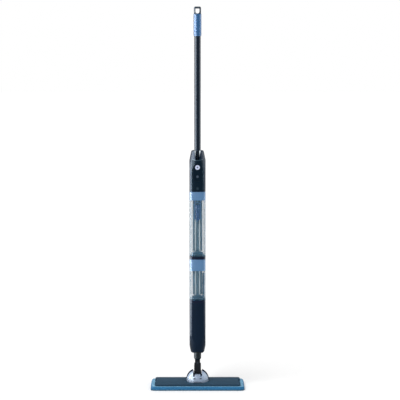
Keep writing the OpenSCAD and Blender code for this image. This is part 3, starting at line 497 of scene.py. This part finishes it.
VALVE = Moulded("valve_blue", (0.030, 0.090, 0.16), Gloss.SATIN)
TANK = Clear("tank_clear", (0.048, 0.145, 0.230), 0.19)
LID = Clear("lid_blue", (0.078, 0.186, 0.350), 0.90, 0.34)
STEEL = Metal("steel_plated", (0.62, 0.64, 0.67), 0.28, (1.0, 0.05, 1.0))
OXIDE = Metal("steel_blackened", (0.030, 0.040, 0.055), 0.35, (1.0, 0.05, 1.0))
TUBE = Moulded("tube_anodised", (0.50, 0.66, 0.74), Gloss.SATIN, 0.06)
# The pad's last colour is painted light on its top.
PAD = Pile("pad_pile", (0.010, 0.090, 0.220), (0.042, 0.215, 0.425), (0.28, 0.56, 0.74))
BINDING = Woven("pad_binding", (0.018, 0.085, 0.165), (0.052, 0.160, 0.265))
THREAD = Woven("stitch_thread", (0.10, 0.26, 0.40), (0.20, 0.38, 0.54), 0.0006)
HOOKS = Woven("hook_tape", (0.5, 0.53, 0.56), (0.75, 0.78, 0.8))

FINISHES = {
    NAVY: ("lower_front", "lower_rear", "upper_front", "upper_rear", "tank_release"),
    RING: ("base_ring", "middle_ring"),
    PANEL: ("control_panel",),
    DARK: ("neck",),
    DOME: ("dome_shell",),
    BLACK: ("yoke", "charge_socket", "fill_plug"),
    SLATE: ("head_plate", "plate_cover"),
    SILVER: ("cradle",),
    GREY: ("wetting_bar", "battery_holder", "pump_cap", "pump_bracket", "pole_socket",
           "clean_pump", "dirty_pump"),
    PALE: ("pitch_bushes", "pump_rotor"),
    GRIP: ("grip",),
    LOOP: ("hang_loop",),
    LACQUER: ("pole",),
    BUTTON: ("power_button",),
    BUTTON_DARK: ("power_inlay", "mode_button"),
    LENS: ("status_lens",),
    RUBBER: ("clean_seal", "dirty_seal", "neck_hoses", "supply_hoses"),
    BOARD: ("control_board", "switch_board"),
    WRAP: ("battery_cells",),
    FILTER_CASE: ("filter_frame",),
    FILTER_CORE: ("filter_cartridge",),
    VALVE: ("clean_outlet", "dirty_inlet"),
    TANK: ("clean_tank", "dirty_tank"),
    LID: ("clean_lid", "dirty_lid"),
    STEEL: ("cradle_screws", "lower_screws", "upper_screws"),
    OXIDE: ("pitch_pin", "roll_pin"),
    TUBE: ("spine_tube",),
    HOOKS: ("hook_strips",),
}


def dress_nodes() -> int:
    """Gives every carried-over node its finish.

    Returns:
        The number of nodes dressed.
    """
    dressed = 0
    for finish, nodes in FINISHES.items():
        material = finish.make()
        for node in nodes:
            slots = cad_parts[node].material_slots
            for slot in slots:
                slot.material = material
            if not slots:
                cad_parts[node].data.materials.append(material)
            dressed += 1
    return dressed


# ---------- mesh work ----------


def finish_mesh(
    work: bmesh.types.BMesh, name: str, body: str, finish: Finish,
) -> bpy.types.Object:
    """Turns a bmesh into a smooth piece that rides on a body.

    Args:
        work: the bmesh, which is freed.
        name: the piece's name.
        body: the body that it rides on.
        finish: its finish.

    Returns:
        The piece.
    """
    bmesh.ops.recalc_face_normals(work, faces=work.faces)
    mesh = bpy.data.meshes.new(name)
    work.to_mesh(mesh)
    work.free()
    for face in mesh.polygons:
        face.use_smooth = True
    piece = bpy.data.objects.new(name, mesh)
    bpy.context.scene.collection.objects.link(piece)
    mesh.materials.append(finish.make())
    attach(piece, body)
    return piece


def settle(piece: bpy.types.Object) -> None:
    """Applies a piece's modifiers to its mesh.

    Args:
        piece: the piece, which keeps its place and its materials.
    """
    graph = bpy.context.evaluated_depsgraph_get()
    mesh = bpy.data.meshes.new_from_object(piece.evaluated_get(graph))
    piece.modifiers.clear()
    piece.data = mesh


def fitted(place: Vector, size: Sequence[float]) -> Matrix:
    """The matrix that stretches a unit shape to a size and puts it at a place."""
    return Matrix.Translation(place) @ Matrix.Diagonal((*size, 1.0))


def soften(
    work: bmesh.types.BMesh, edges: Iterable[bmesh.types.BMEdge], radius: float, segments: int,
) -> None:
    """Rounds edges.

    Args:
        work: the mesh that they are in.
        edges: the edges.
        radius: how far back from each edge the rounding starts.
        segments: steps across the rounding.
    """
    bmesh.ops.bevel(
        work, geom=list(edges), offset=radius, segments=segments, profile=0.5,
        affect="EDGES", material=-1, clamp_overlap=True)


def thicken(work: bmesh.types.BMesh, faces: Sequence[bmesh.types.BMFace], thick: float) -> None:
    """Extrudes faces straight back along Y.

    Args:
        work: the mesh that they are in.
        faces: the faces.
        thick: how far they go.
    """
    made = bmesh.ops.extrude_face_region(work, geom=list(faces))["geom"]
    moved = [item for item in made if isinstance(item, bmesh.types.BMVert)]
    bmesh.ops.translate(work, verts=moved, vec=(0.0, thick, 0.0))


def rounded_slab(
    low: Vector, high: Vector, corner: float, edge: float,
    corner_steps: int = 8, edge_steps: int = 4,
) -> bmesh.types.BMesh:
    """A slab with round corners in plan and rounded top and bottom edges.

    Args:
        low: lowest corner.
        high: highest corner.
        corner: radius of its upright corners.
        edge: radius along its top and bottom edges.
        corner_steps: steps round a corner.
        edge_steps: steps across a rounded edge.

    Returns:
        The slab.
    """
    work = bmesh.new()
    size = high - low
    bmesh.ops.create_cube(work, size=1.0, matrix=fitted((low + high) / 2, size))
    upright = [e for e in work.edges if abs(e.verts[0].co.z - e.verts[1].co.z) > size.z / 2]
    soften(work, upright, corner, corner_steps)
    rims = [e for e in work.edges if abs(e.verts[0].co.z - e.verts[1].co.z) < size.z / 2]
    soften(work, rims, edge, edge_steps)
    return work


class Skin:
    """The front of one or more carried-over nodes, found with rays from the front."""

    def __init__(self, *nodes: str) -> None:
        """Keeps a search tree of each node's faces.

        Args:
            nodes: the nodes' names.
        """
        self.trees = []
        for node in nodes:
            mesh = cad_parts[node].data
            places = [vertex.co.copy() for vertex in mesh.vertices]
            faces = [tuple(face.vertices) for face in mesh.polygons]
            self.trees.append(BVHTree.FromPolygons(places, faces))

    def front(self, across: float, up: float, start: float = -0.2) -> float:
        """The foremost Y at a place.

        Args:
            across: the place's X.
            up: its Z.
            start: where the ray sets off.

        Returns:
            The Y of the nearest face, or 0 where there is none.
        """
        hits = [tree.ray_cast(Vector((across, start, up)), Vector((0.0, 1.0, 0.0)))[0]
                for tree in self.trees]
        return min((hit.y for hit in hits if hit), default=0.0)


def ribbon(
    skin: Skin, path: Sequence[tuple[float, float]], width: float, thick: float, upright: bool,
) -> bmesh.types.BMesh:
    """A thin strip laid on a skin, half sunk into it.

    Args:
        skin: what it lies on.
        path: the X and Z of its middle line.
        width: its width.
        thick: its thickness.
        upright: whether it runs up, and so has its width along X.

    Returns:
        The strip.
    """
    work = bmesh.new()
    wide, tall = (width / 2, 0.0) if upright else (0.0, width / 2)
    rows = []
    for across, up in path:
        face = skin.front(across, up) - thick / 2
        rows.append([
            work.verts.new((across + side * wide, face, up + side * tall)) for side in (-1.0, 1.0)])
    for low, high in zip(rows, rows[1:]):
        work.faces.new((low[0], low[1], high[1], high[0]))
    thicken(work, work.faces, thick)
    return work


# ---------- mop head ----------


@dataclass
class ClothPad:
    """Microfibre pad under the head."""

    corner: float = 14 * MM
    edge: float = 5 * MM
    voxel: float = 2.0 * MM
    tuft: float = 4.5 * MM
    lift: float = 0.9 * MM
    swell: float = 1.4

    def build(self) -> list[bpy.types.Object]:
        """Builds the pad.

        Returns:
            The pad, which replaces its plain solid.
        """
        low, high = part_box("mop_pad")
        inset = Vector((self.lift, self.lift, 0.0))
        work = rounded_slab(low + inset, high - inset, self.corner, self.edge)
        pad = finish_mesh(work, "pad_cloth", "head", PAD)
        remesh = pad.modifiers.new("even", "REMESH")
        remesh.mode = "VOXEL"
        remesh.voxel_size = self.voxel
        settle(pad)
        for vertex in pad.data.vertices:
            puff = self.lift * noise.noise(vertex.co / self.tuft) * self.swell
            moved = vertex.co + vertex.normal * puff
            moved.z = min(max(moved.z, low.z), high.z)
            vertex.co = moved
        for face in pad.data.polygons:
            face.use_smooth = True
        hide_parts("mop_pad")
        return [pad]


@dataclass
class PadHem:
    """Binding round the foot of the pad, with its row of stitches."""

    low: float = 0.6 * MM
    high: float = 4.6 * MM
    corner: float = 14 * MM
    edge: float = 1.2 * MM
    wall: float = 1.2 * MM
    stitch: float = 3.2 * MM
    pitch: float = 5.0 * MM
    thread: float = 0.35 * MM
    thread_sunk: float = 0.3
    level_normal: float = 0.99

    def band(self) -> bpy.types.Object:
        """Builds the binding tape.

        Returns:
            The tape, a closed band.
        """
        low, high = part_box("mop_pad")
        foot = Vector((low.x, low.y, low.z + self.low))
        top = Vector((high.x, high.y, low.z + self.high))
        work = rounded_slab(foot, top, self.corner, self.edge)
        ends = [face for face in work.faces if abs(face.normal.z) > self.level_normal]
        bmesh.ops.delete(work, geom=ends, context="FACES")
        bmesh.ops.recalc_face_normals(work, faces=work.faces)
        bmesh.ops.solidify(work, geom=list(work.faces), thickness=self.wall)
        return finish_mesh(work, "pad_binding_tape", "head", BINDING)

    def stitches(self) -> bpy.types.Object:
        """Builds the stitches along the front, the back and both ends of the tape.

        Returns:
            All the stitches as one piece.
        """
        low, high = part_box("mop_pad")
        middle = (low + high) / 2
        reach = (high - low) / 2
        level = low.z + (self.low + self.high) / 2
        work = bmesh.new()
        for axis, other in ((0, 1), (1, 0)):
            run = reach[axis] - self.corner
            count = int(2 * run / self.pitch)
            out = reach[other] - self.thread_sunk * self.thread
            size = Vector((self.thread, self.thread, self.thread))
            size[axis] = self.stitch / 2
            for side in (-1.0, 1.0):
                for step in range(count + 1):
                    place = Vector((0.0, 0.0, level))
                    place[axis] = middle[axis] - run + 2 * run * step / count
                    place[other] = middle[other] + side * out
                    bmesh.ops.create_icosphere(
                        work, subdivisions=1, radius=1.0, matrix=fitted(place, size))
        return finish_mesh(work, "pad_stitches", "head", THREAD)

    def build(self) -> list[bpy.types.Object]:
        """Builds the tape and its stitches.

        Returns:
            Both.
        """
        tape = self.band()
        return [tape, self.stitches()]


@dataclass
class CradleSlots:
    """Near-black patches at the bottoms of the two slots in the cradle's sill: painted shade in the
    slots.
    """

    across: float = 10.5 * MM
    up: float = 36 * MM
    width: float = 6.9 * MM
    height: float = 3.3 * MM
    sunk: float = 0.7 * MM
    deep: float = 0.6 * MM
    beside: float = MM
    edge: float = 0.2 * MM
    edge_steps: int = 2

    def build(self) -> list[bpy.types.Object]:
        """Builds both, each sunk a little under the cradle's face.

        Returns:
            The two as one piece.
        """
        skin = Skin("cradle")
        work = bmesh.new()
        for side in (-1.0, 1.0):
            face = skin.front(side * (self.across + self.width / 2 + self.beside), self.up)
            place = Vector((side * self.across, face + self.sunk, self.up))
            size = (self.width, self.deep, self.height)
            bmesh.ops.create_cube(work, size=1.0, matrix=fitted(place, size))
        soften(work, work.edges, self.edge, self.edge_steps)
        return [finish_mesh(work, "cradle_slot_shade", "head", SLOT_SHADE)]


# ---------- body ----------


@dataclass
class PanelTrim:
    """Beads round the control panel: a sagging line on top and one on each side."""

    half: float = 17.0 * MM
    sag: float = 3.0 * MM
    above: float = 2.0 * MM
    width: float = 1.5 * MM
    thick: float = 0.4 * MM
    side: float = 19.2 * MM
    side_share: float = 0.6
    side_foot: float = 2 * MM
    side_short: float = 6 * MM
    steps: int = 24

    def build(self) -> list[bpy.types.Object]:
        """Builds the beads on the skin of the panel and the housing.

        Returns:
            The three beads.
        """
        low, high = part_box("control_panel")
        skin = Skin("control_panel", "upper_front")
        across = [self.half * (2 * k / self.steps - 1) for k in range(self.steps + 1)]
        dips = [self.sag * math.cos(math.pi * x / (2 * self.half)) for x in across]
        top = [(x, high.z + self.above - dip) for x, dip in zip(across, dips)]
        line = ribbon(skin, top, self.width, self.thick, False)
        beads = [finish_mesh(line, "panel_top_bead", "stick", BEAD)]
        rise = high.z - low.z - self.side_short
        up = [low.z + self.side_foot + rise * k / self.steps for k in range(self.steps + 1)]
        for name, sign in (("left", -1.0), ("right", 1.0)):
            path = [(sign * self.side, z) for z in up]
            line = ribbon(skin, path, self.side_share * self.width, self.thick, True)
            beads.append(finish_mesh(line, f"panel_{name}_bead", "stick", BEAD))
        return beads


@dataclass
class PaintedNotchHighlight:
    """Pale wedges on both sides of the V notch, between the pole and the housing's horns: a painted
    highlight on the notch's chamfers.
    """

    inner: float = 5.8 * MM
    outer: float = 12.2 * MM
    drop: float = 26.0 * MM
    down: float = 0.8 * MM
    wall: float = 0.6 * MM
    on_horn: float = 1.2 * MM
    under_horn: float = 2 * MM
    over_notch: float = 5 * MM
    before_pole: float = 0.4 * MM
    behind_horn: float = 1.5 * MM

    def build(self) -> list[bpy.types.Object]:
        """Builds the two flanks.

        Returns:
            The two as one piece.
        """
        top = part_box("upper_front")[1].z - self.down
        horn = Skin("upper_front").front(self.outer + self.on_horn, top - self.under_horn)
        pole = Skin("pole").front(self.inner, top + self.over_notch)
        work = bmesh.new()
        for side in (-1.0, 1.0):
            corners = [
                work.verts.new((side * self.inner, pole - self.before_pole, top)),
                work.verts.new((side * self.outer, horn + self.behind_horn, top)),
                work.verts.new((side * self.inner, pole - self.before_pole, top - self.drop)),
            ]
            thicken(work, [work.faces.new(corners)], self.wall)
        return [finish_mesh(work, "notch_highlight_wedges", "stick", NOTCH_HIGHLIGHT)]


@dataclass(frozen=True)
class Channel:
    """Where the channel wall of one tank stands."""

    tank: str
    low: float
    middle: Vector
    radius: float


@dataclass
class TankChannel:
    """Pale strips and dark sleeves on the channel wall inside each tank: painted highlights and
    painted shade.
    """

    wall: float = 3.6 * MM
    across: float = 7.2 * MM
    width: float = 4.6 * MM
    deep: float = 2.4 * MM
    edge: float = 0.8 * MM
    edge_steps: int = 3
    foot: float = 16.0 * MM
    gap: float = 1.0 * MM
    sunk: float = 0.4 * MM
    flank: float = 0.8 * MM
    first: float = 42.0
    last: float = 92.0
    flank_steps: int = 10

    def highlight_strips(self, channel: Channel, high: float) -> bpy.types.Object:
        """Builds a tank's two pale strips, a painted highlight on the channel wall.

        Args:
            channel: the tank's channel.
            high: the top of the rails.

        Returns:
            The two as one piece.
        """
        middle, low = channel.middle, channel.low
        back = middle.y - math.sqrt(channel.radius**2 - self.across**2) + self.sunk
        work = bmesh.new()
        for side in (-1.0, 1.0):
            place = Vector((side * self.across, back - self.deep / 2, (low + high) / 2))
            size = (self.width, self.deep, high - low)
            bmesh.ops.create_cube(work, size=1.0, matrix=fitted(place, size))
        soften(work, work.edges, self.edge, self.edge_steps)
        name, body = f"{channel.tank}_tank_highlight_strips", f"{channel.tank}_tank_unit"
        return finish_mesh(work, name, body, RAIL_HIGHLIGHT)

    def flanks(self, channel: Channel, high: float) -> bpy.types.Object:
        """Builds dark sleeves on both sides of a tank's channel: painted shade where the channel
        walls are seen edge-on.

        Args:
            channel: the tank's channel.
            high: the top of the sleeves.

        Returns:
            The two as one piece.
        """
        middle, radius = channel.middle, channel.radius
        outer = 1.0 + self.flank / radius
        profile = ((1.0, channel.low), (1.0, high), (outer, high), (outer, channel.low))
        axis = Vector((0.0, 0.0, 1.0))
        work = bmesh.new()
        for side in (-1.0, 1.0):
            turn = Matrix.Rotation(math.radians(side * self.first), 3, axis)
            start = Vector((middle.x, middle.y, 0.0)) + turn @ Vector((0.0, -radius, 0.0))
            face = work.faces.new([
                work.verts.new((start.x * out, middle.y + (start.y - middle.y) * out, z))
                for out, z in profile])
            bmesh.ops.spin(
                work, geom=[face], cent=(middle.x, middle.y, 0.0), axis=axis,
                dvec=(0.0, 0.0, 0.0), angle=math.radians(side * (self.last - self.first)),
                steps=self.flank_steps, use_merge=False, use_duplicate=False)
        name, body = f"{channel.tank}_channel_flank_shade", f"{channel.tank}_tank_unit"
        return finish_mesh(work, name, body, FLANK_SHADE)

    def build(self) -> list[bpy.types.Object]:
        """Dresses the channels of both tanks, under the filter in the upper one.

        Returns:
            The rails and the flanks of both.
        """
        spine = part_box("spine_tube")
        middle = (spine[0] + spine[1]) / 2
        radius = (spine[1].x - spine[0].x) / 2 + self.wall
        tops = {"clean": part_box("filter_frame")[0].z, "dirty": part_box("dirty_lid")[0].z}
        pieces = []
        for tank, ceiling in tops.items():
            channel = Channel(tank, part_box(f"{tank}_tank")[0].z + self.foot, middle, radius)
            pieces.append(self.highlight_strips(channel, ceiling - self.gap))
            pieces.append(self.flanks(channel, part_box(f"{tank}_lid")[0].z - self.gap))
        return pieces


# ---------- studio ----------


class LampKind(Enum):
    """Kinds of lamp in the studio."""

    SUN = "SUN"
    AREA = "AREA"


@dataclass(frozen=True)
class Lamp:
    """A lamp: its size is a panel's width and height, or a sun's angle in degrees."""

    name: str
    kind: LampKind
    energy: float
    place: Place
    aim: Place
    size: tuple[float, ...]
    colour: Colour = (1.0, 1.0, 1.0)
    shine_only: bool = False

    def hang(self) -> None:
        """Hangs the lamp; one for shine only shows in gloss alone."""
        data = bpy.data.lights.new(self.name, self.kind.value)
        data.energy = self.energy
        data.color = self.colour
        if self.kind is LampKind.AREA:
            data.shape = "RECTANGLE"
            data.size, data.size_y = self.size
        else:
            data.angle = math.radians(self.size[0])
        lamp = bpy.data.objects.new(self.name, data)
        bpy.context.scene.collection.objects.link(lamp)
        lamp.location = self.place
        look = Vector(self.aim) - Vector(self.place)
        lamp.rotation_euler = look.to_track_quat("-Z", "Y").to_euler()
        lamp.visible_diffuse = not self.shine_only
        lamp.visible_camera = False


# Colour of the panels that only give shine.
COOL = (0.90, 0.96, 1.0)
LAMPS = (
    Lamp("key", LampKind.SUN, 1.55, (-1.6, -1.6, 3.4), (0.0, 0.0, 0.0), (34.0,)),
    Lamp("left_panel", LampKind.AREA, 110.0, (-0.55, -0.24, 0.72), (0.0, -0.24, 0.72),
         (0.80, 1.4), COOL, True),
    Lamp("right_panel", LampKind.AREA, 34.0, (0.95, 0.12, 0.78), (0.0, 0.12, 0.78),
         (1.15, 1.5), COOL, True),
)


@dataclass
class Studio:
    """Floor, daylight-white surroundings, lamps and the camera."""

    eye: Place = (0.0085, -4.0, 1.08)
    tilt: float = 6.147
    lens: float = 106.3
    sensor: float = 36.0
    farthest: float = 200.0
    sky: float = 0.67
    floor_reach: float = 60.0
    floor_white: Colour = (0.98, 0.98, 0.98)

    def world(self) -> None:
        """White surroundings: their full white is only seen or mirrored, and lights nothing."""
        sky = SkyGraph("surroundings")
        seen = (sky.add("ShaderNodeLightPath", output="Is Camera Ray")
                + sky.add("ShaderNodeLightPath", output="Is Glossy Ray")
                + sky.add("ShaderNodeLightPath", output="Is Transmission Ray"))
        strength = seen * (1.0 - self.sky) + self.sky
        shader = sky.add("ShaderNodeBackground", inputs={
            "Color": (1.0, 1.0, 1.0, 1.0), "Strength": strength})
        sky.add("ShaderNodeOutputWorld", inputs={"Surface": shader})

    def floor(self) -> None:
        """A wide white floor."""
        work = bmesh.new()
        bmesh.ops.create_grid(work, x_segments=1, y_segments=1, size=self.floor_reach)
        mesh = bpy.data.meshes.new("floor")
        work.to_mesh(mesh)
        work.free()
        floor = bpy.data.objects.new("floor", mesh)
        bpy.context.scene.collection.objects.link(floor)
        mesh.materials.append(Graph("floor_white").close({
            "Base Color": (*self.floor_white, 1.0), "Roughness": 1.0, "Specular IOR Level": 0.0}))

    def camera(self) -> None:
        """The camera, level with the body and tilted a little down."""
        data = bpy.data.cameras.new("camera")
        data.lens = self.lens
        data.sensor_width = self.sensor
        data.clip_end = self.farthest
        camera = bpy.data.objects.new("camera", data)
        bpy.context.scene.collection.objects.link(camera)
        camera.location = self.eye
        camera.rotation_euler = (math.radians(90.0 - self.tilt), 0.0, 0.0)
        bpy.context.scene.camera = camera

    def build(self) -> None:
        """Sets up the whole studio."""
        bpy.context.scene.view_settings.view_transform = "Standard"
        self.world()
        self.floor()
        for lamp in LAMPS:
            lamp.hang()
        self.camera()


def main() -> None:
    """Builds the mop's looks and the studio, in order, and reports each piece."""
    logging.basicConfig(level=logging.INFO)
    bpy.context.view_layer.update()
    LOG.info("dressed %d nodes", dress_nodes())
    for part in (ClothPad(), PadHem(), CradleSlots(), PanelTrim(), PaintedNotchHighlight(), TankChannel()):
        for piece in part.build():
            LOG.info("%s: %d faces", piece.name, len(piece.data.polygons))
    Studio().build()


if __name__ == "__main__":
    main()
